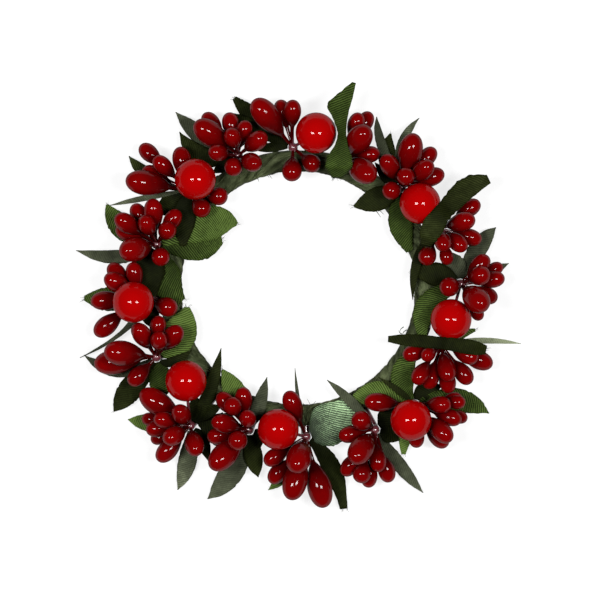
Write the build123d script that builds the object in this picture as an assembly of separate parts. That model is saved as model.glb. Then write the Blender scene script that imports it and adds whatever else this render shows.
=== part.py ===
from build123d import *
import math
import os

import numpy as np

# Candle ring: a steel wire ring, bound in green tape, that carries sixteen sprays.
# Each spray is a bundle of wire stems with lacquered drop berries and fabric leaves,
# and every other spray also has one large round berry. The candle stands in the ring.
# Millimetres, +Z up, origin on the table at the ring's centre.

os.makedirs("parts", exist_ok=True)

# Ring: the core wire, its sleeve, the stem tails laid along it and the tape around them
ring_radius = 37.5
core_wire_radius = 0.8
core_wire_gap = 0.6
sleeve_clearance = 0.05
sleeve_wall = 0.3
sleeve_length = 8.0
tails_clearance = 0.1
tails_outer_radius = 2.2
tape_clearance = 0.1
tape_radius = 3.3
tape_step = 0.25
tape_edge = 0.35
tape_turns = 40
tape_lean = 24
tape_seam_gap = 0.3
foot_cut = 0.5
SEAM_ANGLE = -21.5

# Stems
neck_radius = 1.4
neck_clearance = 0.05
stem_radius = 0.3
berry_stem_radius = 0.45
free_stem_length = 2.8
stem_root_share = 0.8
stalk_rises = {"d": 9.6, "f": 7.7, "h": 7.0}
low_tier_sag = 4.0

# Berries: diameter and length of each kind of drop, from its stem to its round end
drop_diameters = {"bud": 4.1, "round": 5.0, "globe": 5.9, "small": 4.9, "medium": 5.7, "large": 7.4}
drop_lengths = {"bud": 6.0, "round": 6.4, "globe": 7.4, "small": 8.2, "medium": 10.0, "large": 14.0}
drop_widest_share = 0.6
drop_nose_share = 0.75
large_berry_diameter = 12.0
berry_clearance = 0.2

# Leaves: full width of each kind, and the thin layers that they lie in under the berries
leaf_widths = {"needle": 1.2, "sliver": 1.8, "blade": 3.0, "narrow": 4.2, "tail": 4.2, "middle": 5.6,
               "broad": 7.2, "wide": 10.5, "sheet": 13.0}
top_leaf_widths = {"d": 10.5, "f": 7.2, "h": 4.2}
leaf_thickness = 0.3
leaf_fold = 0.15
leaf_layer = 0.65
leaf_layers = 4
leaf_clearance = 0.3
leaf_root_clearance = 0.15
leaf_tip_width = 0.35
lobe_droop = 3.0
skirt_height = 3.4
skirt_radius = 62.0

# Scale of the places below, which are pixels of a picture taken from straight above
CENTRE_PX = (298, 288)
RING_RADIUS_PX = 128.1
SPREAD_PX = 51.2
spray_spread = 15.0

# Hub of each spray, clockwise from the upper left
HUBS_PX = {
    "a": (188, 190), "b": (238, 155), "c": (293, 147), "d": (345, 158),
    "e": (402, 187), "f": (440, 228), "g": (461, 284), "h": (441, 345),
    "i": (415, 405), "j": (375, 430), "k": (306, 437), "l": (249, 430),
    "m": (190, 426), "n": (156, 357), "o": (140, 298), "p": (156, 244),
}

# Centre of each large round berry
LARGE_BERRIES_PX = {
    "a": (195.5, 179.5), "c": (316, 133), "e": (420, 203.5), "g": (451, 319.5),
    "i": (411, 420), "k": (280, 429.5), "m": (186, 381), "o": (133.5, 302),
}

# Round end of each drop: x, y, kind and tier, where tier -1 lies under its neighbours
DROPS_PX = {
    "a": [(138, 181, "large", 0), (144, 156, "small", -1), (152, 166, "small", -1),
          (160, 163, "small", 0), (181, 156, "medium", 0), (202, 209, "round", 0),
          (219, 197, "round", 0)],
    "b": [(211, 120, "small", -1), (206, 130, "large", 0), (216, 151, "small", 0),
          (231, 136, "small", 0), (240, 131, "small", -1), (233, 122, "small", -1),
          (257, 140, "medium", 0), (254, 161, "medium", 0), (233, 167, "round", 0)],
    "c": [(262, 109, "large", 0), (292, 108, "small", 0), (282, 108, "small", -1),
          (293, 171, "globe", 0), (311, 164, "round", -1)],
    "d": [(358, 121, "small", 0), (366, 119, "small", -1), (361, 137, "large", 0),
          (370, 155, "small", -1), (366, 172, "large", 0)],
    "e": [(414, 149, "large", 0), (427, 154, "small", -1), (422, 167, "medium", 0),
          (435, 175, "medium", 0), (390, 162, "medium", 0), (407, 176, "round", 0),
          (391, 190, "round", 0)],
    "f": [(473, 206, "small", 0), (466, 221, "medium", 0), (474, 238, "small", -1),
          (459, 244, "small", 0), (443, 244, "small", 0), (447, 258, "bud", -1),
          (427, 257, "round", 0)],
    "g": [(483, 262, "small", 0), (497, 268, "bud", -1), (480, 279, "globe", 0),
          (495, 281, "small", 0), (479, 300, "large", 0), (491, 294, "small", -1),
          (478, 314, "bud", -1), (449, 287, "globe", 0)],
    "h": [(411, 354, "small", 0), (427, 356, "bud", 0), (421, 378, "small", 0),
          (447, 373, "medium", 0), (436, 381, "small", -1), (443, 386, "small", -1),
          (464, 378, "small", 0), (470, 357, "small", 0), (484, 362, "medium", -1)],
    "i": [(374, 402, "medium", 0), (443, 405, "small", 0), (458, 404, "bud", 0),
          (453, 418, "small", 0), (461, 418, "bud", -1), (445, 433, "medium", 0),
          (441, 440, "medium", -1), (455, 396, "bud", -1), (417, 440, "small", -1)],
    "j": [(361, 421, "globe", 0), (349, 435, "small", -1), (358, 453, "large", 0),
          (348, 469, "small", -1), (364, 474, "round", 0), (370, 480, "small", -1),
          (376, 465, "small", 0), (387, 475, "small", -1)],
    "k": [(289, 402, "medium", 0), (272, 460, "small", -1), (295, 459, "large", 0),
          (275, 476, "small", -1), (296, 488, "large", -1), (319, 496, "large", -1)],
    "l": [(242, 396, "small", 0), (225, 399, "small", -1), (231.5, 406.5, "round", 0),
          (247, 417, "small", 0), (221, 422, "medium", 0), (237, 441, "globe", 0),
          (218, 457, "large", 0), (218, 440, "small", -1)],
    "m": [(150, 401, "large", 0), (179, 414, "medium", 0), (163, 419, "small", 0),
          (149, 418, "bud", -1), (154, 429, "small", -1), (172, 435, "medium", 0),
          (163, 452, "medium", -1), (158, 441, "bud", -1), (195, 447, "medium", 0)],
    "n": [(121, 347, "large", 0), (137, 339, "medium", 0), (157, 338, "small", 0),
          (173, 332, "medium", 0), (107, 364, "large", -1), (134, 377, "small", 0),
          (159, 325, "small", -1), (141, 330, "small", -1)],
    "o": [(116, 270, "small", -1), (115, 280, "medium", 0), (130, 272, "small", -1),
          (100, 301, "medium", 0), (102, 329, "medium", -1), (167, 308.5, "globe", 0)],
    "p": [(125, 222, "medium", 0), (126, 229, "medium", -1), (137, 212, "small", 0),
          (144, 223, "small", 0), (157, 209, "medium", 0), (169, 216, "small", -1),
          (167, 230, "round", 0), (132, 251, "large", 0), (158, 256, "round", 0)],
}

# Leaves under the berries: a point on the way, the tip, kind, layer (0 is the highest) and twist
LEAVES_PX = {
    "a": [(148, 197, 109, 205, "sliver", 1, 20), (151, 176, 128, 155, "narrow", 2, 0),
          (172, 203, 156, 210, "broad", 3, 0), (184, 216, 183, 246, "broad", 1, 0)],
    "b": [(206, 138, 175, 111, "narrow", 2, 0), (205, 156, 179, 131, "narrow", 1, 0)],
    "c": [(257, 119, 234, 97, "middle", 2, 0), (258, 129, 231, 112, "narrow", 1, 0)],
    "e": [(389, 160, 391, 133, "middle", 3, 0), (402, 147, 420, 117, "blade", 0, 15),
          (379, 198, 354, 206, "broad", 2, 0), (401, 221, 410, 251, "broad", 3, 0),
          (383, 147, 377, 116, "blade", 1, 30)],
    "f": [(419, 258, 413, 300, "blade", 0, 0)],
    "g": [(478, 250, 497, 227, "middle", 2, 0), (438, 275, 413, 272, "broad", 2, 0),
          (488, 273, 510, 263, "blade", 1, 20), (429, 306, 423, 336, "broad", 1, 0),
          (455, 268, 443, 252, "broad", 3, 0)],
    "h": [(458, 336, 476, 330, "blade", 2, 0), (482, 341, 522, 344, "sliver", 1, 25)],
    "i": [(400, 392, 378, 377, "sliver", 0, 0), (456, 401, 490, 414, "broad", 2, 0),
          (407, 432, 404, 455, "narrow", 2, 0), (404, 377, 417, 348, "broad", 1, 0),
          (380, 394, 352, 403, "broad", 2, 0)],
    "j": [(386, 418, 392, 402, "middle", 3, 0), (353, 404, 327, 380, "blade", 0, 20),
          (398, 463, 424, 494, "narrow", 2, 0)],
    "k": [(328, 425, 354, 402, "sheet", 3, 0), (331, 468, 346, 510, "middle", 2, 0),
          (288, 470, 268, 491, "narrow", 2, 0), (299, 405, 295, 368, "needle", 2, 0)],
    "l": [(258, 408, 267, 377, "narrow", 1, 0), (253, 455, 258, 478, "middle", 1, 0),
          (231, 468, 207, 500, "middle", 2, 0), (237, 398, 222, 370, "broad", 2, 0),
          (224, 430, 200, 418, "wide", 3, 0)],
    "m": [(208, 394, 221, 348, "narrow", 0, 0), (155, 424, 127, 420, "middle", 2, 0),
          (187, 460, 177, 491, "middle", 2, 0)],
    "n": [(131, 388, 113, 412, "broad", 2, 0), (177, 336, 187, 307, "wide", 2, 0),
          (118, 370, 83, 355, "narrow", 1, 0), (172, 361, 192, 350, "blade", 0, 0),
          (160, 380, 158, 400, "broad", 3, 0)],
    "o": [(110, 299, 83, 298, "broad", 2, 0), (124, 329, 79, 358, "tail", 0, 0)],
    "p": [(124, 228, 106, 204, "broad", 2, 0), (118, 256, 75, 250, "narrow", 1, 0),
          (163, 275, 181, 302, "wide", 2, 0), (205, 224, 237, 224, "wide", 2, 0),
          (148, 270, 152, 297, "wide", 0, 0), (196, 243, 222, 240, "wide", 3, 0)],
}

# Leaves over the stems: one tip, the waist where the leaf is tied, and the other tip
TOP_LEAVES_PX = {
    "d": [(354, 83), (341.5, 135), (339, 178)],
    "f": [(489, 180), (446, 209), (425, 246)],
    "h": [(388, 339), (441, 343), (486, 350)],
}

# Shares of a leaf's full width, from its root to its tip
LEAF_WIDTH_SHARES = (0.3, 0.66, 0.92, 1.0, 0.9, 0.6, 0.0)
TAIL_WIDTH_SHARES = (1.0, 0.9, 0.55, 0.34, 0.26, 0.2, 0.0)

# The same for the leaves on top, from tip to tip: right side, then left side
TOP_WIDTH_SHARES = {
    "d": [(0.11, 0.67, 1.2, 0.55, 0.2, 0.28, 0.67, 0.76, 0.34),
          (0.11, 0.17, 0.14, 0.17, 0.25, 0.45, 0.73, 0.75, 0.22)],
    "f": [(0.37, 0.78, 0.92, 0.87, 0.73, 0.78, 0.92, 0.78, 0.46),
          (0.37, 0.78, 0.92, 0.87, 0.73, 0.78, 0.92, 0.78, 0.46)],
    "h": [(0.42, 0.79, 0.89, 0.89, 0.84, 0.94, 1.05, 1.0, 0.63),
          (0.42, 0.79, 0.89, 0.89, 0.84, 0.94, 1.05, 1.0, 0.63)],
}

# Samples for the leaves on top: along each stem, along the leaf and across it
STEM_SAMPLES = 41
BRIDGE_SAMPLES = 25
ACROSS_SAMPLES = 7

# How the round ends find room: samples along each stem, rounds with and without a pull towards
# the place in the picture, and the share of each pull, push and lift that one round applies
SAMPLES = 11
HOMING_ROUNDS = 156
CLEARING_ROUNDS = 104
HOMING_SHARE = 0.06
MOVE_SHARE = 0.7
LIFT_SHARE = 0.8
LIFT_FROM_SHARE = 0.25
LEVER_SHARE = 0.05
LARGE_BERRY_WEIGHT = 0.25

# Values that follow from the sizes above
tape_height = tape_radius - foot_cut
tape_top = tape_height + tape_radius
tails_bore_radius = core_wire_radius + sleeve_clearance + sleeve_wall + tails_clearance
tape_bore_radius = tails_outer_radius + tape_clearance
leaf_ceiling = tape_top + leaf_clearance + leaf_layers * leaf_layer
hub_height = leaf_ceiling + berry_clearance + stem_radius
shoulder_radius = ring_radius + tape_radius + neck_radius
large_berry_radius = large_berry_diameter / 2
berry_flat_depth = large_berry_radius - math.sqrt(large_berry_radius ** 2 - berry_stem_radius ** 2)
neighbour_distance = 2 * spray_spread
most_move = 3 * berry_clearance


def on_ring(point_px):
    """Plan position of a spray's hub, which moves out as the ring grows."""
    scale = ring_radius / RING_RADIUS_PX
    return np.array([(point_px[0] - CENTRE_PX[0]) * scale, (CENTRE_PX[1] - point_px[1]) * scale])


def near_hub(point_px, letter):
    """Plan position of a berry or leaf point, measured from its spray's hub."""
    hub_px = HUBS_PX[letter]
    scale = spray_spread / SPREAD_PX
    offset = np.array([(point_px[0] - hub_px[0]) * scale, (hub_px[1] - point_px[1]) * scale])
    return on_ring(hub_px) + offset


def ceiling_at(radius):
    """Height that all lower leaves stay under and all berries stay over."""
    slope = np.clip((radius - shoulder_radius) / (skirt_radius - shoulder_radius), 0, 1)
    return leaf_ceiling + slope * (skirt_height - leaf_ceiling)


def degrees_of(arc_length):
    """Angle that a length takes up on the ring's centre line."""
    return math.degrees(arc_length / ring_radius)


class Member:
    """One berry or stalk of a spray: a straight stem from the hub and a body at its end."""

    def __init__(self, letter, point_px, kind, tier):
        self.letter = letter
        self.kind = kind
        self.stem = berry_stem_radius if kind == "berry" else stem_radius
        self.radius = stem_radius
        self.body = 0.0
        self.widest = 0.0
        if kind == "berry":
            self.radius = large_berry_radius
            self.body = large_berry_radius
        if kind in drop_diameters:
            self.radius = drop_diameters[kind] / 2
            self.body = drop_lengths[kind] - self.radius
            self.widest = drop_lengths[kind] * drop_widest_share
        self.hub = np.array([*on_ring(HUBS_PX[letter]), hub_height])
        self.plan = near_hub(point_px, letter)
        self.least_reach = self.body + free_stem_length
        flat = np.linalg.norm(self.plan - self.hub[:2])
        rise = math.sqrt(max(self.least_reach ** 2 - flat ** 2, 0))
        if tier < 0:
            rise = -low_tier_sag
        if kind == "stalk":
            rise = stalk_rises[letter]
        self.head = np.array([*self.plan, hub_height + rise])

    def axis(self):
        """Unit vector from the hub to the centre of the round end."""
        line = self.head - self.hub
        return line / np.linalg.norm(line)

    def tail(self):
        """Point where the stem meets the body."""
        return self.head - self.axis() * self.body

    def flank(self):
        """Length of the body, that of its pointed flank, and the radius the flank is bent to."""
        if self.kind not in drop_diameters:
            return 0.0, 0.0, 0.0
        swell = self.radius - self.stem
        return self.body, self.widest, (swell ** 2 + self.widest ** 2) / (2 * swell)


def spray_members():
    """Every berry of every spray, and the stalk of each leaf that lies on top."""
    members = []
    for letter, drops in DROPS_PX.items():
        members += [Member(letter, (x, y), kind, tier) for x, y, kind, tier in drops]
    members += [Member(letter, point_px, "berry", 0) for letter, point_px in LARGE_BERRIES_PX.items()]
    members += [Member(letter, waist_px, "stalk", 0) for letter, (_, waist_px, _) in TOP_LEAVES_PX.items()]
    return members


class Crowd:
    """All members together, each sampled at even steps from its hub to its round end."""

    def __init__(self, members, samples):
        self.steps = np.linspace(0, 1, samples)
        self.hub = np.array([member.hub for member in members])
        self.head = np.array([member.head for member in members])
        self.plan = np.array([member.plan for member in members])
        self.radius = np.array([member.radius for member in members])
        self.stem = np.array([member.stem for member in members])
        self.least = np.array([member.least_reach for member in members])
        self.flank = np.array([member.flank() for member in members])
        is_large = np.array([member.kind == "berry" for member in members])
        self.weight = np.where(is_large, LARGE_BERRY_WEIGHT, 1)
        apart = np.linalg.norm(self.hub[:, None, :2] - self.hub[None, :, :2], axis=2)
        self.first, self.second = np.nonzero(np.triu(apart < neighbour_distance, 1))
        letters = np.array([member.letter for member in members])
        self.same = letters[self.first] == letters[self.second]

    def sampled(self):
        """The sample points, the radius at each, and which of them lie on bare stems."""
        points = self.hub[:, None, :] + self.steps[None, :, None] * (self.head - self.hub)[:, None, :]
        reach = np.linalg.norm(self.head - self.hub, axis=1)
        behind = (1 - self.steps) * reach[:, None]
        body, widest, bend = self.flank[:, :1], self.flank[:, 1:2], self.flank[:, 2:]
        along_flank = np.maximum(behind - (body - widest), 0)
        swell = np.sqrt(np.maximum(bend ** 2 - along_flank ** 2, 0)) - bend + self.radius[:, None]
        bare = behind > body
        girth = np.where(bare, self.stem[:, None], np.maximum(swell, self.stem[:, None]))
        return points, girth, bare

    def pushes(self, points, girth, bare):
        """The gap of the tightest pair, and how far each round end moves away from its neighbours."""
        first, second = self.first, self.second
        across = points[second][:, None, :, :] - points[first][:, :, None, :]
        apart = np.linalg.norm(across, axis=3)
        room = apart - girth[first][:, :, None] - girth[second][:, None, :] - berry_clearance
        both_bare = bare[first][:, :, None] & bare[second][:, None, :]
        room = np.where(self.same[:, None, None] & both_bare, berry_clearance, room)
        one, two = np.divmod(room.reshape(len(first), -1).argmin(axis=1), len(self.steps))
        pair = np.arange(len(first))
        lack = np.maximum(-room[pair, one, two], 0)
        push = across[pair, one, two] / np.where(apart > 0, apart, 1)[pair, one, two][:, None]
        lever_one = self.steps[one] * self.weight[first]
        lever_two = self.steps[two] * self.weight[second]
        total = lever_one * self.steps[one] + lever_two * self.steps[two] + LEVER_SHARE
        move = np.zeros_like(self.head)
        np.add.at(move, first, -push * (lack * lever_one / total)[:, None])
        np.add.at(move, second, push * (lack * lever_two / total)[:, None])
        return berry_clearance - lack.max(), move

    def lifts(self, points, girth):
        """How far each round end rises so that its member clears the leaves below."""
        floor = ceiling_at(np.linalg.norm(points[:, :, :2], axis=2)) + berry_clearance + girth
        lack = np.where(self.steps < LIFT_FROM_SHARE, 0, floor - points[:, :, 2])
        return (np.maximum(lack, 0) / np.maximum(self.steps, LIFT_FROM_SHARE)).max(axis=1)

    def move(self, homing):
        """One round of moves. Returns the least room between two members."""
        points, girth, bare = self.sampled()
        gap, move = self.pushes(points, girth, bare)
        lift = self.lifts(points, girth)
        move[:, :2] += homing * (self.plan - self.head[:, :2])
        size = np.linalg.norm(move, axis=1)
        self.head += MOVE_SHARE * (most_move / np.maximum(size, most_move))[:, None] * move
        self.head[:, 2] += LIFT_SHARE * lift
        reach = np.linalg.norm(self.head - self.hub, axis=1)
        self.head = self.hub + (self.head - self.hub) * np.maximum(1, self.least / reach)[:, None]
        return gap


def spread_apart(members):
    """Move the round ends until no berry, stem or stalk touches another or the leaves below."""
    crowd = Crowd(members, SAMPLES)
    for turn in range(HOMING_ROUNDS + CLEARING_ROUNDS):
        gap = crowd.move(HOMING_SHARE if turn < HOMING_ROUNDS else 0)
    for member, head in zip(members, crowd.head):
        member.head = head
    drift = np.linalg.norm(crowd.head[:, :2] - crowd.plan, axis=1)
    print("least room between berries", round(float(gap), 3), "of", berry_clearance)
    print("drift from the picture", round(float(drift.mean()), 2), "to", round(float(drift.max()), 2))
    print("highest point", round(float((crowd.head[:, 2] + crowd.radius).max()), 2))


def rod(start, end, radius):
    """Round bar between two points."""
    line = Vector(*end) - Vector(*start)
    base = Plane(origin=tuple(start), z_dir=line)
    return base * Cylinder(radius, line.length, align=(Align.CENTER, Align.CENTER, Align.MIN))


def ring_bar(outer, inner, start_angle, arc):
    """Part of a round or hollow bar that follows the ring."""
    section = Circle(outer)
    if inner > 0:
        section -= Circle(inner)
    placed = Plane.XZ * Pos(ring_radius, tape_height) * section
    return revolve(Rot(0, 0, start_angle) * placed, Axis.Z, revolution_arc=arc)


def core_wire():
    """The steel ring, open by a small gap that the sleeve covers."""
    gap = degrees_of(core_wire_gap)
    return ring_bar(core_wire_radius, 0, SEAM_ANGLE + gap / 2, 360 - gap)


def wire_sleeve():
    """The crimped sleeve over the two ends of the core wire."""
    arc = degrees_of(sleeve_length)
    inner = core_wire_radius + sleeve_clearance
    return ring_bar(inner + sleeve_wall, inner, SEAM_ANGLE - arc / 2, arc)


def stem_tails():
    """The tails of all stems, laid along the core wire as one round bundle."""
    gap = degrees_of(tape_seam_gap)
    return ring_bar(tails_outer_radius, tails_bore_radius, SEAM_ANGLE + gap / 2, 360 - gap)


def tape_winding():
    """The green tape, whose turns lap like shingles, cut flat where the ring stands."""
    whole = 360 - degrees_of(tape_seam_gap)
    pitch = whole / tape_turns
    edge = degrees_of(tape_edge)
    sections = []
    for turn in range(tape_turns):
        start = SEAM_ANGLE + degrees_of(tape_seam_gap) / 2 + turn * pitch
        for angle, radius in ((start, tape_radius - tape_step), (start + pitch - edge, tape_radius)):
            turned = math.radians(angle)
            centre = (ring_radius * math.cos(turned), ring_radius * math.sin(turned), tape_height)
            flat = Plane(origin=centre, x_dir=(0, 0, 1), z_dir=(-math.sin(turned), math.cos(turned), 0))
            sections.append(flat.rotated((0, tape_lean, 0)) * Circle(radius))
    wound = loft(sections, ruled=True)
    bore = ring_bar(tape_bore_radius, 0, 0, 360)
    width = 2 * (ring_radius + 2 * tape_radius)
    below = Box(width, width, tape_radius, align=(Align.CENTER, Align.CENTER, Align.MAX))
    return wound - [bore, below]


def drop(kind):
    """A lacquered drop on the Z axis: a pointed tail that swells to an oval end with a round nose."""
    radius, length = drop_diameters[kind] / 2, drop_lengths[kind]
    widest = length * drop_widest_share
    nose = radius * drop_nose_share
    ahead = length - widest - nose
    bend = (radius ** 2 + ahead ** 2 - nose ** 2) / (2 * (radius - nose))
    turn = math.atan2(ahead, bend - radius)
    joint = (nose * math.cos(turn), widest + ahead + nose * math.sin(turn))
    flank = TangentArc((radius, widest), (stem_radius, 0), tangent=(0, -1))
    shoulder = TangentArc((radius, widest), joint, tangent=(0, 1))
    cap = CenterArc((0, widest + ahead), nose, math.degrees(turn), 90 - math.degrees(turn))
    edges = [flank, shoulder, cap, Line((0, length), (0, 0)), Line((0, 0), (stem_radius, 0))]
    return revolve(Plane.XZ * make_face(edges), Axis.Z)


def large_berry():
    """A round berry on the Z axis with a small flat where its stem meets it."""
    flat = (berry_stem_radius, berry_flat_depth)
    side = ThreePointArc(flat, (large_berry_radius, large_berry_radius), (0, large_berry_diameter))
    edges = [side, Line((0, large_berry_diameter), (0, berry_flat_depth)), Line((0, berry_flat_depth), flat)]
    return revolve(Plane.XZ * make_face(edges), Axis.Z)


def spray_stems(letter, members):
    """The bound neck of a spray with its free stems, seated on the tape."""
    hub = np.array([*on_ring(HUBS_PX[letter]), hub_height])
    knee = np.array([hub[0], hub[1], tape_height])
    pieces = [rod(knee, hub, neck_radius), Pos(*hub) * Sphere(neck_radius)]
    reach = np.linalg.norm(hub[:2])
    if reach > shoulder_radius:
        inward = (*(hub[:2] / reach * ring_radius), tape_height)
        pieces += [rod(inward, knee, neck_radius), Pos(*knee) * Sphere(neck_radius)]
    for member in members:
        end = member.tail()
        if member.kind == "berry":
            end = end + member.axis() * berry_flat_depth
        pieces.append(rod(hub + member.axis() * neck_radius * stem_root_share, end, member.stem))
    seat = Pos(0, 0, tape_height) * Torus(ring_radius, tape_radius + neck_clearance)
    return pieces[0].fuse(*pieces[1:]) - seat


class Spine:
    """Curve in plan from a leaf's root, a gap away from the point it starts at, to its tip."""

    def __init__(self, middle, gap, way, tip):
        self.control = 2 * way - (middle + tip) / 2
        start = self.control - middle
        self.root = middle + start / np.linalg.norm(start) * gap
        self.tip = tip

    def point(self, t):
        return (1 - t) ** 2 * self.root + 2 * t * (1 - t) * self.control + t ** 2 * self.tip

    def along(self, t):
        line = (1 - t) * (self.control - self.root) + t * (self.tip - self.control)
        return line / np.linalg.norm(line)


def leaf_half(shares, width, t):
    """Half of a leaf's width at a share of its length."""
    return max(width * np.interp(t, np.linspace(0, 1, len(shares)), shares), leaf_tip_width) / 2


def leaf(spine, shares, width, heights, twist):
    """A thin pointed leaf along a spine, with one height for each section and shares for each side."""
    sections = []
    for index, height in enumerate(heights):
        t = index / (len(heights) - 1)
        along = spine.along(t)
        right, left = (leaf_half(side_shares, width, t) for side_shares in shares)
        roll = math.radians(twist) * max(0, 2 * t - 1)
        side = Vector(-along[1] * math.cos(roll), along[0] * math.cos(roll), math.sin(roll))
        top = Vector(along[1] * math.sin(roll), -along[0] * math.sin(roll), math.cos(roll))
        low = Vector(*spine.point(t), height)
        fold = top * leaf_fold * min(1, min(right, left) / leaf_widths["blade"])
        rise = top * leaf_thickness
        corners = [low - side * right, low + fold, low + side * left,
                   low + side * left + rise, low + fold + rise, low - side * right + rise]
        sections.append(make_face(Polyline(*corners, close=True)))
    return loft(sections, ruled=True)


def lower_leaves(letter):
    """The leaves of one spray that lie in the layers under the berries."""
    hub = on_ring(HUBS_PX[letter])
    found = []
    for way_x, way_y, tip_x, tip_y, kind, layer, twist in LEAVES_PX.get(letter, []):
        way, tip = near_hub((way_x, way_y), letter), near_hub((tip_x, tip_y), letter)
        spine = Spine(hub, neck_radius + leaf_root_clearance, way, tip)
        below = leaf_clearance + leaf_thickness + layer * leaf_layer
        shares = TAIL_WIDTH_SHARES if kind == "tail" else LEAF_WIDTH_SHARES
        stations = np.linspace(0, 1, len(shares))
        heights = [float(ceiling_at(np.linalg.norm(spine.point(t)))) - below for t in stations]
        found.append(leaf(spine, (shares, shares), leaf_widths[kind], heights, twist))
    return found


def taut(heights):
    """The lowest line without a dip that passes over a row of heights."""
    line = []
    for here, height in enumerate(heights):
        for before in range(here):
            for after in range(here + 1, len(heights)):
                slope = (heights[after] - heights[before]) / (after - before)
                height = max(height, heights[before] + slope * (here - before))
        line.append(height)
    return line


def top_leaf(letter, members):
    """A long leaf, tied at its waist to the spray's stalk, that bridges what lies under it."""
    width = top_leaf_widths[letter]
    tip_px, waist_px, end_px = TOP_LEAVES_PX[letter]
    tip, waist, end = (near_hub(point_px, letter) for point_px in (tip_px, waist_px, end_px))
    spine = Spine(tip, 0, waist, end)
    stalk = next(m for m in members if m.letter == letter and m.kind == "stalk")
    seat = stalk.head[2] + stem_radius * math.hypot(*stalk.axis()[:2]) + leaf_root_clearance
    others = [m for m in members if m is not stalk]
    points, girth, bare = Crowd(others, STEM_SAMPLES).sampled()
    centres = np.concatenate([points.reshape(-1, 3), [stalk.hub]])
    sizes = np.append(girth.reshape(-1), neck_radius) + leaf_clearance
    rests = []
    for t in np.linspace(0, 1, BRIDGE_SAMPLES):
        right, left = (leaf_half(shares, width, t) for shares in TOP_WIDTH_SHARES[letter])
        across = np.array([-spine.along(t)[1], spine.along(t)[0]])
        spots = spine.point(t) + np.linspace(-right, left, ACROSS_SAMPLES)[:, None] * across
        away = np.linalg.norm(centres[None, :, :2] - spots[:, None, :], axis=2)
        over = centres[:, 2] + np.sqrt(np.maximum(sizes ** 2 - away ** 2, 0))
        free = seat - abs(2 * t - 1) * lobe_droop
        rests.append(float(np.where(away < sizes, over, free).max()))
    middle = BRIDGE_SAMPLES // 2
    heights = taut(rests[:middle + 1]) + taut(rests[middle:])[1:]
    print("top leaf", letter, "rises to", round(max(heights), 2), "over a seat at", round(float(seat), 2))
    return leaf(spine, TOP_WIDTH_SHARES[letter], width, heights, 0)


def export(name, shapes):
    """Write one node, which holds one solid or a group of separate solids."""
    solids = [solid for shape in shapes for solid in shape.solids()]
    node = solids[0] if len(solids) == 1 else Compound(solids)
    export_step(node, f"parts/{name}.step")


def main():
    members = spray_members()
    spread_apart(members)
    export("core_wire", [core_wire()])
    export("wire_sleeve", [wire_sleeve()])
    export("stem_tails", [stem_tails()])
    export("tape_winding", [tape_winding()])
    drops = {kind: drop(kind) for kind in drop_diameters}
    berry = large_berry()
    for letter in HUBS_PX:
        spray = [member for member in members if member.letter == letter]
        export(f"stems_{letter}", [spray_stems(letter, spray)])
        small = []
        for member in spray:
            base = Plane(origin=tuple(member.tail()), z_dir=tuple(member.axis()))
            if member.kind == "berry":
                export(f"large_berry_{letter}", [base * berry])
            elif member.kind != "stalk":
                small.append(base * drops[member.kind])
        export(f"drop_berries_{letter}", small)
        leaves = lower_leaves(letter)
        if letter in TOP_LEAVES_PX:
            leaves.append(top_leaf(letter, members))
        export(f"leaves_{letter}", leaves)


main()
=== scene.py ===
"""Looks of the candle ring: lacquered drop berries, satin leaves and a taped hoop, built on the packed part."""
import math
import random

import bmesh
import bpy
import numpy as np
from bpy.props import FloatProperty, FloatVectorProperty, IntProperty, PointerProperty
from bpy.types import Operator, Panel, PropertyGroup
from mathutils import Matrix, Vector, noise
from mathutils.bvhtree import BVHTree


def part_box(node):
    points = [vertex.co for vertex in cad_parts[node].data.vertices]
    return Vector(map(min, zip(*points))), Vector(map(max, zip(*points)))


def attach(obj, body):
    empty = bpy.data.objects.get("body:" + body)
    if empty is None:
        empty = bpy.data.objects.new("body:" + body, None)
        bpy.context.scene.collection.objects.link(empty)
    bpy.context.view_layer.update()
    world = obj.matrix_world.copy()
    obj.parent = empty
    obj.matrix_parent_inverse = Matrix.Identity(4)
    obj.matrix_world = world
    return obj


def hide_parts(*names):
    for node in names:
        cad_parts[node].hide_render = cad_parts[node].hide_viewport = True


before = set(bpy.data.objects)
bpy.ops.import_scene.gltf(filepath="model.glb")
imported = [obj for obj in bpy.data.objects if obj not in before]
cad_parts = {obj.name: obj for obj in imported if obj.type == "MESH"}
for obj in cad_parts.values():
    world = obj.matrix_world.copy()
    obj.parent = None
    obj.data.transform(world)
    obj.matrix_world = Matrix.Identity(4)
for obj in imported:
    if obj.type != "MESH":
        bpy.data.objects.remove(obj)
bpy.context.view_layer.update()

bl_info = {
    "name": "Candle ring looks",
    "version": (1, 0, 0),
    "blender": (4, 5, 0),
    "location": "3D View > Sidebar > Candle ring",
    "description": "Dresses the packed candle ring with lacquered berries, satin leaves and twisted tape",
    "category": "Object",
}

MM = 0.001
CM_PER_M = 100
MM_PER_CM = 10
PX = 0.2929 * MM
FRAME_PX = 600
CENTRE_PX = (298, 288)
WELD = 0.002 * MM
SKY_HEIGHT = 0.1
DOWN = Vector((0, 0, -1))

RING_RADIUS_MM = 37.5
RING_RADIUS = RING_RADIUS_MM * MM
WRAP_RADIUS_MM = 3.1
TAPE_HEIGHT = 2.8 * MM
TAPE_GRID = (720, 44)
FIBRE_STEPS = 10
THREAD_STEPS = 5
THREAD_RADIUS = 0.15 * MM
FRAY_RADIUS = 0.05 * MM
HUB_HEIGHT = 9.5 * MM
HUB_GAP = 1.55 * MM
NECK_LENGTH = 3.0 * MM
STEM_STOP = 0.8 * MM

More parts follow.
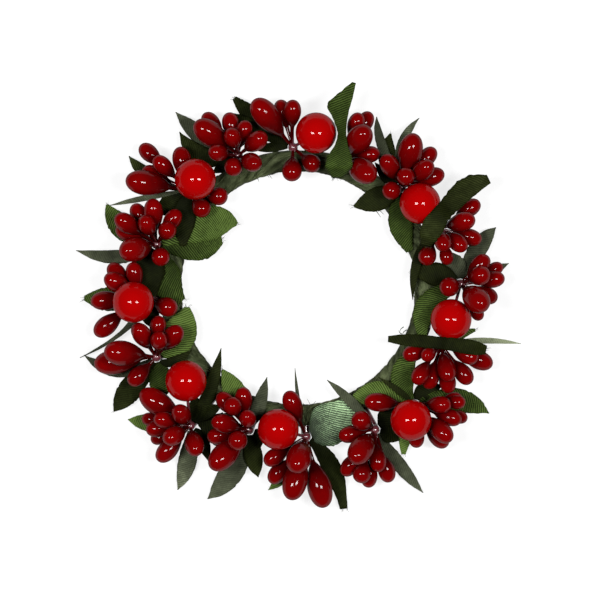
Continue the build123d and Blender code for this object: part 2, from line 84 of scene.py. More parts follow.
# Hub of each spray, in pixels of the picture
HUBS_PX = {
    "a": (188, 190), "b": (238, 155), "c": (293, 147), "d": (345, 158),
    "e": (402, 187), "f": (440, 228), "g": (461, 284), "h": (441, 345),
    "i": (415, 405), "j": (375, 430), "k": (306, 437), "l": (249, 430),
    "m": (190, 426), "n": (156, 357), "o": (140, 298), "p": (156, 244),
}

# Each leaf: a point on the way, the tip, full width in mm, finish, share of the width left at the tip, shade: how
# light it is painted, its own tone with painted light and shade
LEAVES_PX = {
    "a": [(148, 197, 109, 205, 1.8, "grey", 0, 0.5), (151, 176, 128, 155, 4.2, "dark", 0, 0.6),
          (172, 203, 156, 210, 7.2, "dark", 0.2, 0.35), (184, 216, 183, 246, 7.2, "dark", 0.2, 0.15)],
    "b": [(204, 137, 175, 111, 5.6, "grey", 0, 0.35), (203, 155, 179, 131, 5.6, "dark", 0, 0.45)],
    "c": [(257, 119, 234, 97, 5.6, "dark", 0.25, 0.35), (258, 129, 231, 112, 4.2, "dark", 0, 0.3)],
    "e": [(389, 160, 391, 133, 5.6, "dark", 0.1, 0.6), (402, 147, 420, 117, 3.0, "grey", 0, 0.45),
          (379, 198, 354, 206, 7.2, "dark", 0.1, 0.4), (401, 221, 410, 251, 7.2, "ribbed", 0.3, 0.3),
          (383, 147, 377, 116, 3.0, "grey", 0, 0.4)],
    "f": [(419, 258, 413, 300, 3.0, "dark", 0, 0.3)],
    "g": [(478, 250, 497, 227, 5.6, "grey", 0, 0.3), (438, 275, 413, 272, 7.2, "dark", 0.2, 0.25),
          (488, 273, 510, 263, 3.0, "grey", 0, 0.4), (429, 306, 423, 336, 7.2, "ribbed", 0.35, 0.45),
          (455, 268, 443, 252, 7.2, "grey", 0.3, 0.35)],
    "h": [(458, 336, 476, 330, 3.0, "ribbed", 0.3, 0.6), (482, 341, 522, 344, 1.8, "grey", 0, 1.0)],
    "i": [(400, 392, 378, 377, 1.8, "dark", 0, 0.4), (456, 401, 490, 414, 7.2, "ribbed", 0, 0.4),
          (407, 432, 404, 455, 4.2, "ribbed", 0.3, 0.95), (404, 377, 417, 348, 7.2, "ribbed", 0.1, 0.5),
          (380, 394, 352, 403, 7.2, "ribbed", 0.35, 0.85)],
    "j": [(386, 418, 392, 402, 5.6, "dark", 0.2, 0.2), (353, 404, 327, 380, 3.0, "grey", 0, 0.4),
          (398, 463, 424, 494, 4.2, "grey", 0, 0.4)],
    "k": [(328, 425, 354, 402, 13.0, "painted_sheen", 0.3, 0.66), (331, 468, 344, 510, 5.6, "dark", 0.4, 0.35),
          (288, 470, 268, 491, 4.2, "ribbed", 0, 0.9), (299, 405, 295, 368, 1.2, "grey", 0, 0.3)],
    "l": [(258, 408, 267, 377, 4.2, "grey", 0, 0.3), (253, 455, 258, 478, 5.6, "dark", 0, 0.4),
          (232, 471, 207, 500, 7.2, "grey", 0, 0.4), (237, 398, 222, 370, 7.2, "ribbed", 0.1, 0.8),
          (224, 430, 200, 418, 10.5, "dark", 0.35, 0.1)],
    "m": [(208, 394, 221, 348, 4.2, "dark", 0, 0.35), (155, 424, 127, 420, 5.6, "ribbed", 0, 0.95),
          (187, 460, 177, 491, 5.6, "grey", 0, 0.55)],
    "n": [(131, 388, 113, 412, 7.2, "dark", 0.05, 0.4), (177, 336, 187, 307, 10.5, "ribbed", 0.15, 0.85),
          (118, 370, 83, 355, 4.2, "grey", 0, 0.3), (172, 361, 192, 350, 3.0, "dark", 0, 0.2),
          (160, 380, 158, 400, 7.2, "ribbed", 0.2, 0.4)],
    "o": [(110, 299, 83, 298, 7.2, "ribbed", 0.2, 0.6)],
    "p": [(124, 228, 106, 204, 7.2, "ribbed", 0.1, 0.5), (118, 256, 75, 250, 4.2, "grey", 0, 0.4),
          (163, 275, 181, 302, 10.5, "ribbed", 0.3, 0.2), (205, 224, 237, 224, 10.5, "ribbed", 0.1, 0.7),
          (148, 270, 152, 297, 10.5, "dark", 0.3, 0.1), (196, 243, 222, 240, 10.5, "ribbed", 0.2, 0.35)],
}

# A leaf with a long thin tail, and short dark leaves put in the gaps between the stems as painted shade round the
# hubs, in the same columns
TAILS_PX = {"o": [(124, 329, 79, 358, 4.2, "grey", 0, 0.3)]}
SHADE_FILL_LEAVES_PX = {
    "b": [(227, 163, 212, 173, 4.2, "dark", 0, 0.1)], "c": [(272, 147, 252, 149, 3.0, "dark", 0, 0.25)],
    "e": [(390, 178, 375, 162, 4.2, "dark", 0, 0.15)], "i": [(425, 393, 443, 386, 5.6, "dark", 0, 0.2)],
    "j": [(388, 434, 401, 441, 5.6, "dark", 0, 0.15)], "l": [(256, 436, 260, 449, 4.2, "dark", 0, 0.2)],
    "m": [(201, 441, 208, 462, 4.2, "dark", 0, 0.2), (194, 411, 195, 394, 4.2, "dark", 0, 0.1),
          (205, 414, 222, 406, 4.2, "dark", 0, 0.2)],
    "o": [(149, 314, 156, 330, 5.6, "dark", 0, 0.15)],
}

# Share of the full width from the root to the tip
LEAF_SHARES = (0.3, 0.66, 0.92, 1.0, 0.9, 0.6, 0.0)
TAIL_SHARES = (1.0, 0.9, 0.55, 0.34, 0.26, 0.2, 0.0)

# Leaves over the stems: one tip, the waist where the leaf is tied, the other tip, full width in mm, finish, shade
TOP_LEAVES_PX = {
    "d": ((354, 83), (341.5, 135), (339, 178), 10.5, "ribbed", 0.35),
    "f": ((489, 180), (446, 209), (425, 246), 7.2, "dark", 0.55),
    "h": ((388, 339), (441, 343), (486, 350), 4.2, "dark", 0.35),
}

# Shares of the full width for their right and left sides, from tip to tip
TOP_SHARES = {
    "d": ((0.11, 0.67, 1.2, 0.55, 0.2, 0.28, 0.67, 0.76, 0.34),
          (0.11, 0.17, 0.14, 0.17, 0.25, 0.45, 0.73, 0.75, 0.22)),
    "f": ((0.45, 1.1, 1.15, 0.95, 0.73, 0.78, 0.92, 0.78, 0.46),
          (0.30, 0.50, 0.66, 0.76, 0.73, 0.78, 0.92, 0.78, 0.46)),
    "h": ((0.42, 0.79, 0.89, 0.89, 0.84, 0.94, 1.05, 1.0, 0.63),) * 2,
}

LEAF_COLUMNS = 8
LEAF_ROWS, TOP_ROWS, SHADE_FILL_ROWS = 30, 60, 16
LEAF_TABLES = ((LEAVES_PX, LEAF_SHARES, LEAF_ROWS), (TAILS_PX, TAIL_SHARES, LEAF_ROWS),
               (SHADE_FILL_LEAVES_PX, LEAF_SHARES, SHADE_FILL_ROWS))
LEAF_START_HEIGHT = 10 * MM
LEAF_SINK = 0.15 * MM
LEAF_CURL = 0.10 * MM
LEAF_FRINGE = 3 * MM
WIDE_LEAF = 12 * MM
WEAVE_TURN = math.radians(58)

# Loose thread ends of the tape and the tuft at spray k: root and end, in pixels, and the heights of both
FRAYS_PX = [
    (268, 171, 272, 178), (266, 170, 269, 177), (331, 171, 334, 180), (336, 173, 335, 179), (378, 208, 384, 214),
    (376, 210, 381, 217), (404, 327, 400, 333), (407, 330, 403, 337), (421, 292, 418, 300), (424, 300, 419, 303),
    (211, 215, 218, 220), (256, 176, 259, 182), (402, 334, 399, 330), (190, 352, 196, 349), (350, 404, 353, 399),
]
TUFT_PX = [
    (306, 421, 303, 403), (307, 421, 307, 399), (308, 422, 311, 408), (309, 422, 316, 401), (306, 424, 304, 411),
]
FRAY_HEIGHTS = (4.5 * MM, 3.5 * MM)
TUFT_HEIGHTS = (6.0 * MM, 9.0 * MM)

FLOOR_SIZE = 12
FLOOR_GAP = 0.02 * MM
SENSOR_WIDTH = 36
FOCUS_HEIGHT = 12 * MM
VIEW_PX = (300, 300)


class TapeSettings(PropertyGroup):
    """Sizes and colours of the wound tape."""

    radius: FloatProperty(
        name="Radius", description="Mean outer radius of the wound tape", default=3.08 * MM, unit="LENGTH",
        precision=5)
    crease: FloatProperty(
        name="Crease", description="Height of the creases of the twisted tape", default=0.34 * MM, unit="LENGTH",
        precision=5)
    twist: FloatProperty(
        name="Twist", description="Angle between the fibres and the hoop", default=math.radians(38),
        subtype="ANGLE")
    fibres: IntProperty(name="Fibres", description="Number of raised fibres", default=260, min=0)
    fibre_radius: FloatProperty(
        name="Fibre radius", description="Radius of a raised fibre", default=0.09 * MM, unit="LENGTH", precision=6)
    # Painted light and shade: the dark colour is painted in the creases, the light one on the crests
    dark: FloatVectorProperty(
        name="Dark", description="Colour in the creases", subtype="COLOR", size=4,
        default=(0.0055, 0.008, 0.002, 1))
    light: FloatVectorProperty(
        name="Light", description="Colour of the fibres on top", subtype="COLOR", size=4,
        default=(0.105, 0.125, 0.060, 1))


class BerrySettings(PropertyGroup):
    """Colours and finish of the lacquered berries."""

    drop: FloatVectorProperty(
        name="Drop", description="Colour of a drop at its round end", subtype="COLOR", size=4,
        default=(0.137, 0.0004, 0.0006, 1))
    # Painted shade: the tail colour darkens each drop towards its stem, where the necks crowd at the hub
    tail: FloatVectorProperty(
        name="Tail", description="Colour of a drop at its stem", subtype="COLOR", size=4,
        default=(0.030, 0.0003, 0.0005, 1))
    large: FloatVectorProperty(
        name="Large", description="Colour of the large round berries", subtype="COLOR", size=4,
        default=(0.27, 0.0004, 0.0006, 1))
    gloss: FloatProperty(name="Gloss", description="Strength of the clear lacquer", default=0.26, min=0, max=1)
    neck: FloatProperty(
        name="Neck", description="Radius of the lacquered neck behind a drop", default=0.62 * MM, unit="LENGTH",
        precision=5)
    vary: FloatProperty(
        name="Variation", description="How much the size of the drops varies", default=0.02, min=0, max=0.1,
        subtype="FACTOR")
    sides: IntProperty(name="Sides", description="Sides of a drop before it is smoothed", default=20, min=8)


class LeafSettings(PropertyGroup):
    """Colours and shape of the satin leaves."""

    thickness: FloatProperty(
        name="Thickness", description="Thickness of the stiffened satin", default=0.14 * MM, unit="LENGTH",
        precision=6)
    ripple: FloatProperty(
        name="Ripple", description="Height of the waves in a leaf", default=0.13 * MM, unit="LENGTH", precision=6)
    dark: FloatVectorProperty(
        name="Dark", description="Colour of the dark satin", subtype="COLOR", size=4,
        default=(0.0105, 0.0135, 0.0028, 1))
    ribbed: FloatVectorProperty(
        name="Ribbed", description="Colour of the ribbed leaves", subtype="COLOR", size=4,
        default=(0.025, 0.041, 0.0070, 1))
    grey: FloatVectorProperty(
        name="Grey", description="Colour of the matte backs", subtype="COLOR", size=4,
        default=(0.050, 0.057, 0.034, 1))
    # The shiny leaf: its pale streaks are a painted sheen, lifted far above its colour
    painted_sheen: FloatVectorProperty(
        name="Silver", description="Colour of the shiny leaf", subtype="COLOR", size=4,
        default=(0.045, 0.068, 0.036, 1))
    # Painted shade: how much darker a leaf is painted at its root, or at the waist of a leaf over the stems, where
    # it lies under the berries
    painted_root_shade: FloatProperty(
        name="Root shade", description="How much darker a leaf is at its root", default=0.4, min=0, max=1)
    fray: FloatProperty(
        name="Fray", description="Longest loose thread at a cut end", default=1.5 * MM, unit="LENGTH", precision=5)


class StemSettings(PropertyGroup):
    """Colours of the stems and the inner wires."""

    coat: FloatVectorProperty(
        name="Coat", description="Colour of the coated stems", subtype="COLOR", size=4,
        default=(0.055, 0.008, 0.012, 1))
    steel: FloatVectorProperty(
        name="Steel", description="Colour of the core wire", subtype="COLOR", size=4, default=(0.55, 0.55, 0.56, 1))


class StageSettings(PropertyGroup):
    """Camera, lamps and floor."""

    height: FloatProperty(
        name="Camera height", description="Height of the camera over the table", default=2.0, unit="LENGTH")
    lamp_tilt: FloatProperty(
        name="Lamp tilt", description="Angle of each lamp from straight above", default=math.radians(19.6),
        subtype="ANGLE")
    lamp_distance: FloatProperty(
        name="Lamp distance", description="Distance of each lamp", default=1.0, unit="LENGTH")
    lamp_width: FloatProperty(name="Lamp width", description="Width of each lamp", default=0.30, unit="LENGTH")
    lamp_depth: FloatProperty(name="Lamp depth", description="Depth of each lamp", default=0.17, unit="LENGTH")
    lamp_power: FloatProperty(name="Lamp power", description="Power of each lamp", default=10.0, unit="POWER")
    sky: FloatProperty(name="Sky", description="Brightness of the room overhead", default=0.03, min=0)
    haze: FloatProperty(name="Horizon", description="Brightness of the room at the horizon", default=0.12, min=0)
    floor_glow: FloatProperty(
        name="Floor", description="Share of plain white in the floor", default=0.8, min=0, max=1)
    floor_white: FloatProperty(
        name="Floor white", description="Whiteness of the matte floor", default=0.8, min=0, max=1)
    floor_bounce: FloatProperty(
        name="Floor bounce", description="Share of light that the floor throws back up", default=0.3, min=0, max=1)


class Value:
    """A number socket whose sums and products add their own Math nodes."""

    def __init__(self, recipe, socket):
        self.recipe = recipe
        self.socket = socket

    def math(self, operation, *others):
        sockets = {index: other for index, other in enumerate((self, *others))}
        return self.recipe.value("ShaderNodeMath", {"operation": operation}, sockets)

    def __add__(self, other):
        return self.math("ADD", other)

    def __mul__(self, other):
        return self.math("MULTIPLY", other)

    def __sub__(self, other):
        return self.math("SUBTRACT", other)

    def __rsub__(self, other):
        return self.recipe.value("ShaderNodeMath", {"operation": "SUBTRACT"}, {0: other, 1: self})

    __radd__ = __add__
    __rmul__ = __mul__

    def clamped(self):
        """The number kept between 0 and 1."""
        return self.recipe.value("ShaderNodeMath", {"operation": "ADD", "use_clamp": True}, {0: self, 1: 0.0})


class Recipe:
    """A material, or the world, that is put together node by node."""

    def __init__(self, owner, output):
        owner.use_nodes = True
        self.owner = owner
        self.tree = owner.node_tree
        self.tree.nodes.clear()
        self.output = self.tree.nodes.new(output)

    def node(self, kind, settings=None, sockets=None):
        """Add a node, set it up, then fill or link its sockets."""
        made = self.tree.nodes.new(kind)
        for name, setting in (settings or {}).items():
            if name == "stops":
                ramp = made.color_ramp.elements
                while len(ramp) < len(setting):
                    ramp.new(0.5)
                for stop, (place, colour) in zip(ramp, setting):
                    stop.position = place
                    stop.color = colour
            else:
                setattr(made, name, setting)
        for name, given in (sockets or {}).items():
            self.fill(made.inputs[name], given)
        return made

    def fill(self, socket, given):
        """Link a socket to another one, or set its number or colour."""
        if isinstance(given, Value):
            given = given.socket
        if isinstance(given, bpy.types.NodeSocket):
            self.tree.links.new(given, socket)
        else:
            socket.default_value = given

    def value(self, kind, settings=None, sockets=None, output=0):
        return Value(self, self.node(kind, settings, sockets).outputs[output])

    def mix(self, share, first, second):
        """Blend two colours."""
        made = self.node("ShaderNodeMix", {"data_type": "RGBA"}, {0: share, 6: first, 7: second})
        return made.outputs[2]

    def ramp(self, share, stops):
        return self.node("ShaderNodeValToRGB", {"stops": stops}, {0: share}).outputs[0]

    def place(self, source, scale=(1, 1, 1), turn=0.0):
        """Object coordinates or the piece's UV map, scaled, and turned about Z."""
        coordinates = self.node("ShaderNodeTexCoord").outputs[source]
        return self.node("ShaderNodeMapping", {}, {"Vector": coordinates, "Scale": scale,
                                                   "Rotation": (0, 0, turn)}).outputs[0]

    def attribute(self, name):
        """A number that the piece's mesh carries."""
        return self.value("ShaderNodeAttribute", {"attribute_name": name}, {}, 2)

    def noise(self, where, scale, detail, rough):
        return self.value("ShaderNodeTexNoise", {}, {"Vector": where, "Scale": scale, "Detail": detail,
                                                     "Roughness": rough})

    def bump(self, height, distance, strength):
        return self.node("ShaderNodeBump", {}, {"Height": height, "Distance": distance,
                                                "Strength": strength}).outputs[0]

    def finish(self, sockets):
        """The surface itself."""
        shader = self.node("ShaderNodeBsdfPrincipled", {}, sockets)
        self.tree.links.new(shader.outputs[0], self.output.inputs[0])
        return self.owner


def tint(colour, share, lift=0.0):
    """A lighter or darker form of a colour."""
    return tuple(min(1, c * share + lift) for c in colour[:3]) + (1,)


def grey(level):
    """A neutral colour."""
    return (level, level, level, 1)


def new_material(name):
    return Recipe(bpy.data.materials.new(name), "ShaderNodeOutputMaterial")


def lacquer(name, head, tail, gloss):
    """Clear lacquer over red. Along runs from a berry's stem to its round end, darker at the stem as painted shade;
    tone sets its depth.
    """
    m = new_material(name)
    along, tone = m.attribute("along"), m.attribute("tone")
    where = m.place("Object")
    cloud = m.noise(where, 420, 3, 0.55)
    specks = m.noise(where, 2600, 1, 0.5)
    # Darker towards the stem: painted shade where the drops' necks crowd at the hub
    share = (along * 1.5 + (cloud - 0.5) * 0.5 - 0.25).clamped()
    colour = m.mix(share, tail, head)
    deep = m.mix(0.35, colour, (0.02, 0, 0, 1))
    colour = m.mix((tone * 0.75 + (specks - 0.5) * 0.3).clamped(), deep, colour)
    uneven = m.bump(m.noise(where, 700, 2, 0.5), 0.02 * MM, 0.35)
    return m.finish({"Base Color": colour, "Roughness": 0.5, "Specular IOR Level": 0.0, "Normal": uneven,
                     "Coat Weight": gloss, "Coat Roughness": 0.05, "Coat IOR": 1.5})


def satin(name, colour, rough, gloss, streak, ribs, lift):
    """Woven satin. The UV map runs along and across each leaf, in centimetres; shade sets how light each leaf is
    painted, its own tone with painted light and shade.
    """
    m = new_material(name)
    dark, pale = tint(colour, 0.25), tint(colour, lift, 0.006)
    shade = m.attribute("shade")
    streaks = m.noise(m.place("UV", (6, 90, 1), WEAVE_TURN), 1.6, 3, 0.65)
    patches = m.noise(m.place("UV"), 3.2, 3, 0.6)
    weave = m.value("ShaderNodeTexWave", {"wave_type": "BANDS", "bands_direction": "Y"},
                    {"Vector": m.place("UV", (1, 1, 1), WEAVE_TURN), "Scale": 5.4, "Distortion": 1.8,
                     "Detail": 2.0, "Detail Scale": 1.6}, 1)
    # Shade brings each leaf's painted light and shade and the painted shade at its root; streaks, patches and weave
    # are the satin's own pattern
    share = shade * 0.9 + 0.05 + (streaks - 0.5) * streak + (patches - 0.5) * 0.7 + (weave - 0.5) * ribs
    base = m.ramp(share.clamped(), [(0.0, dark), (0.5, colour), (1.0, pale)])
    height = streaks * 0.6 + weave * 0.8
    return m.finish({"Base Color": base, "Roughness": (rough + (patches - 0.5) * 0.2).clamped(),
                     "Specular IOR Level": gloss, "Normal": m.bump(height, 0.03 * MM, 0.8)})


def twisted_fibre(name, dark, light):
    """Fibrous tape: streaks along its fibres, painted shade in the creases and painted light on the crests."""
    m = new_material(name)
    crest = m.attribute("crest")
    streaks = m.noise(m.place("UV", (3, 34, 1)), 2.4, 4, 0.7)
    fine = m.noise(m.place("UV", (4, 120, 1)), 3.0, 2, 0.6)
    patches = m.noise(m.place("Object"), 170, 3, 0.6)
    share = (crest * 0.75 + (streaks - 0.5) * 1.7 + (patches - 0.5) * 0.9 + (fine - 0.5) * 0.5 + 0.02).clamped()
    middle = tuple((d * 1.6 + l * 0.7) / 2 for d, l in zip(dark, light))[:3] + (1,)
    base = m.ramp(share, [(0.0, dark), (0.45, middle), (1.0, light)])
    return m.finish({"Base Color": base, "Roughness": (0.62 - streaks * 0.2).clamped(), "Specular IOR Level": 0.02,
                     "Normal": m.bump(streaks + fine * 0.5, 0.06 * MM, 0.9)})


def coated_wire(name, colour, metallic, rough):
    """Drawn or lacquered wire with a fine grain."""
    m = new_material(name)
    grain = m.noise(m.place("Object"), 900, 2, 0.5)
    return m.finish({"Base Color": m.mix(grain, colour, tint(colour, 1.8, 0.01)), "Metallic": metallic,
                     "Roughness": (rough + (grain - 0.5) * 0.15).clamped(), "Coat Weight": 0.6,
                     "Coat Roughness": 0.08, "Normal": m.bump(grain, 0.01 * MM, 0.5)})


def start_piece():
    """Leave edit mode and clear the selection, because an operator acts on all that is selected."""
    if bpy.context.object and bpy.context.object.mode != "OBJECT":
        bpy.ops.object.mode_set(mode="OBJECT")
    bpy.ops.object.select_all(action="DESELECT")


def end_piece(piece, name, slot, *materials):
    """Name a piece, give it its materials and let it ride on the ring."""
    piece.name = piece.data.name = name
    piece.data.materials.clear()
    for material in materials:
        piece.data.materials.append(material)
    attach(piece, "root")
    return piece


def add_modifier(piece, kind, **settings):
    """Add a modifier to a piece and apply it."""
    start_piece()
    piece.select_set(True)
    bpy.context.view_layer.objects.active = piece
    made = piece.modifiers.new(kind.title(), kind)
    for name, setting in settings.items():
        setattr(made, name, setting)
    bpy.ops.object.modifier_apply(modifier=made.name)


def join(pieces):
    """Join copies into the first one."""
    start_piece()
    for piece in pieces:
        piece.select_set(True)
    bpy.context.view_layer.objects.active = pieces[0]
    if len(pieces) > 1:
        bpy.ops.object.join()
    return bpy.context.view_layer.objects.active


def linked(data, name):
    """A new object for a mesh, a curve, a lamp or a camera."""
    made = bpy.data.objects.new(name, data)
    bpy.context.scene.collection.objects.link(made)
    return made


def solids_of(node):
    """Points and faces of each separate solid of a CAD node, from a merged copy of its mesh."""
    shape = bmesh.new()
    shape.from_mesh(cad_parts[node].data)
    bmesh.ops.remove_doubles(shape, verts=shape.verts, dist=WELD)
    shape.verts.ensure_lookup_table()
    group = {}
    for seed in shape.verts:
        if seed.index in group:
            continue
        group[seed.index] = seed.index
        waiting = [seed]
        while waiting:
            for edge in waiting.pop().link_edges:
                for other in edge.verts:
                    if other.index not in group:
                        group[other.index] = seed.index
                        waiting.append(other)
    found = []
    for root in sorted(set(group.values())):
        keep = [v for v in shape.verts if group[v.index] == root]
        number = {v.index: index for index, v in enumerate(keep)}
        faces = [[number[v.index] for v in f.verts] for f in shape.faces if f.verts[0].index in number]
        found.append((np.array([v.co[:] for v in keep]), faces))
    shape.free()
    return found


def drop_place(points, hub):
    """Where a drop's stem end is, the way it points from its hub, its length and its radius."""
    centre = points.mean(axis=0)
    spread, ways = np.linalg.eigh(np.cov((points - centre).T))
    axis = ways[:, 2] if spread[2] - spread[1] > spread[1] - spread[0] else ways[:, 0]
    if (centre - hub) @ axis < 0:
        axis = -axis
    along = (points - centre) @ axis
    away = np.linalg.norm(points - centre - along[:, None] * axis, axis=1)
    tail = centre + axis * along.min()
    return Vector(tail), Vector(axis), float(np.ptp(along)), float(away.max())


def raise_rings(stations, sides):
    """A closed round body: a disc that is extruded and scaled station by station, and closed at its end."""
    start_piece()
    height, radius = stations[0]
    bpy.ops.mesh.primitive_circle_add(vertices=sides, radius=radius, fill_type="NGON", location=(0, 0, height))
    body = bpy.context.object
    bpy.ops.object.transform_apply(location=True, rotation=False, scale=False)
    bpy.ops.object.mode_set(mode="EDIT")
    bpy.ops.mesh.select_all(action="SELECT")
    for new_height, new_radius in stations[1:]:
        bpy.ops.mesh.extrude_region_move(TRANSFORM_OT_translate={"value": (0, 0, new_height - height)})
        bpy.ops.transform.resize(value=(new_radius / radius, new_radius / radius, 1),
                                 center_override=(0, 0, new_height))
        height, radius = new_height, new_radius
    bpy.ops.mesh.merge(type="CENTER")
    bpy.ops.mesh.select_all(action="SELECT")
    bpy.ops.mesh.normals_make_consistent(inside=False)
    bpy.ops.object.mode_set(mode="OBJECT")
    return body


def drop_stations(length, radius, neck):
    """Heights and radii from the neck over the widest ring to the round end. The neck lies below zero."""
    widest = length * 0.6
    swell = radius - neck
    stations = [(-NECK_LENGTH, neck * 0.7), (-1.6 * MM, neck * 0.8), (-0.5 * MM, neck * 0.92)]
    for share in (0.0, 0.12, 0.26, 0.42, 0.58, 0.74, 0.88, 1.0):
        rise = math.sin(math.pi / 2 * share) ** 0.85 if share > 0 else 0
        stations.append((widest * share, neck + swell * rise))
    for degrees in (20, 38, 54, 68, 80):
        turned = math.radians(degrees)
        stations.append((widest + (length - widest) * math.sin(turned), radius * math.cos(turned) ** 0.93))
    stations.append((length, radius * 0.02))
    return stations


def put_attribute(mesh, name, values):
    """Give each point of a mesh its number, or all of them the same one."""
    values = np.broadcast_to(np.asarray(values, np.float32), len(mesh.vertices))
    mesh.attributes.new(name, "FLOAT", "POINT").data.foreach_set("value", np.ascontiguousarray(values))


def points_of(mesh):
    flat = np.empty(len(mesh.vertices) * 3)
    mesh.vertices.foreach_get("co", flat)
    return flat.reshape(-1, 3)


def picture_place(x, y):
    """Plan position of a pixel of the picture."""
    return np.array([(x - CENTRE_PX[0]) * PX, (CENTRE_PX[1] - y) * PX])


def hub_place(letter):
    """Where the stems of a spray part."""
    return Vector((*picture_place(*HUBS_PX[letter]), HUB_HEIGHT))


class RING_OT_drops(Operator):
    """Lacquered drop berries, one smooth body for each drop of the part"""

    bl_idname = "ring.drops"
    bl_label = "Drop berries"

    def execute(self, context):
        look = context.scene.ring_berries
        red = lacquer("dark_red_lacquer", look.drop, look.tail, look.gloss)
        dice = random.Random(11)
        models = {}
        for letter in HUBS_PX:
            node = "drop_berries_" + letter
            hub = hub_place(letter)
            copies = []
            for points, _ in solids_of(node):
                tail, axis, length, radius = drop_place(points, np.array(hub))
                key = round(length / MM, 1)
                if key not in models:
                    body = raise_rings(drop_stations(length, radius, look.neck), look.sides)
                    add_modifier(body, "SUBSURF", levels=1, render_levels=1)
                    body.data.shade_smooth()
                    put_attribute(body.data, "along", np.clip(points_of(body.data)[:, 2] / length, 0, 1))
                    models[key] = body.data.copy()
                    bpy.data.objects.remove(body)
                mesh = models[key].copy()
                reach = (tail - hub).length - STEM_STOP
                places = points_of(mesh)
                places[:, 2] = np.where(places[:, 2] < 0, places[:, 2] * reach / NECK_LENGTH, places[:, 2])
                mesh.vertices.foreach_set("co", places.ravel())
                put_attribute(mesh, "tone", 0.35 + 0.65 * dice.random())
                girth = 1 + look.vary * (2 * dice.random() - 1)
                spin = Matrix.Rotation(math.tau * dice.random(), 4, "Z")
                stretch = Matrix.Diagonal((girth, girth, 1, 1))
                turn = axis.to_track_quat("Z", "Y").to_matrix().to_4x4()
                mesh.transform(Matrix.Translation(tail) @ turn @ spin @ stretch)
                copies.append(linked(mesh, "drop"))
            piece = end_piece(join(copies), "drops_" + letter, "dark_red_lacquer", red)
            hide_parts(node)
        return {"FINISHED"}


class RING_OT_large_berries(Operator):
    """Large round berries with a small dimple where the wire goes in"""

    bl_idname = "ring.large_berries"
    bl_label = "Large berries"

    def execute(self, context):
        look = context.scene.ring_berries
        red = lacquer("bright_red_lacquer", look.large, look.large, look.gloss)
        dice = random.Random(5)
        for letter in HUBS_PX:
            node = "large_berry_" + letter
            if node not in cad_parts:
                continue
            low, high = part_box(node)
            centre, radius = (low + high) / 2, max(high - low) / 2
            start_piece()
            bpy.ops.mesh.primitive_uv_sphere_add(segments=56, ring_count=36, radius=radius, location=(0, 0, 0))
            piece = context.object
            bpy.ops.object.mode_set(mode="EDIT")
            bpy.ops.mesh.select_all(action="DESELECT")
            shape = bmesh.from_edit_mesh(piece.data)
            for vertex in shape.verts:
                vertex.select = vertex.co.z < -radius * 0.985
            shape.select_flush(True)
            bmesh.update_edit_mesh(piece.data)
            bpy.ops.transform.translate(value=(0, 0, radius * 0.05))
            bpy.ops.object.mode_set(mode="OBJECT")
            piece.data.shade_smooth()
            turn = (centre - hub_place(letter)).to_track_quat("Z", "Y").to_matrix().to_4x4()
            spin = Matrix.Rotation(math.tau * dice.random(), 4, "Z")
            put_attribute(piece.data, "along", 1.0)
            put_attribute(piece.data, "tone", 0.9 + 0.1 * dice.random())
            piece.data.transform(Matrix.Translation(centre) @ turn @ spin)
            end_piece(piece, "round_berry_" + letter, "bright_red_lacquer", red)
            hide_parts(node)
        return {"FINISHED"}


class LeafLine:
    """Curve in plan from a leaf's root to its tip."""

    def __init__(self, middle, gap, way, tip):
        self.control = 2 * way - (middle + tip) / 2
        start = self.control - middle
        self.root = middle + start / np.linalg.norm(start) * gap
        self.tip = tip
        self.is_pair = gap == 0

    def point(self, t):
        return (1 - t) ** 2 * self.root + 2 * t * (1 - t) * self.control + t ** 2 * self.tip

    def across(self, t):
        line = (1 - t) * (self.control - self.root) + t * (self.tip - self.control)
        line = line / np.linalg.norm(line)
        return np.array([-line[1], line[0]])


def nearest_solid(trees, line):
    """The CAD leaf that lies along a leaf's line in plan."""
    def miss(tree):
        total = 0.0
        for t in (0.15, 0.5, 0.95):
            spot = line.point(t)
            hit = tree.ray_cast(Vector((*spot, SKY_HEIGHT)), DOWN)[0]
            near = hit or tree.find_nearest(Vector((*spot, LEAF_START_HEIGHT)))[0]
            total += math.hypot(near.x - spot[0], near.y - spot[1]) + (0 if hit else MM)
        return total
    return min(trees, key=miss)


def leaf_spread(shares, blunt, stations):
    """Share of the full width at each row of one side of a leaf."""
    spread = np.interp(stations, np.linspace(0, 1, len(shares)), (*shares[:-1], max(shares[-1], blunt)))
    for _ in range(2):
        spread[1:-1] = (spread[:-2] + 2 * spread[1:-1] + spread[2:]) / 4
    return np.maximum(spread, 0.03)


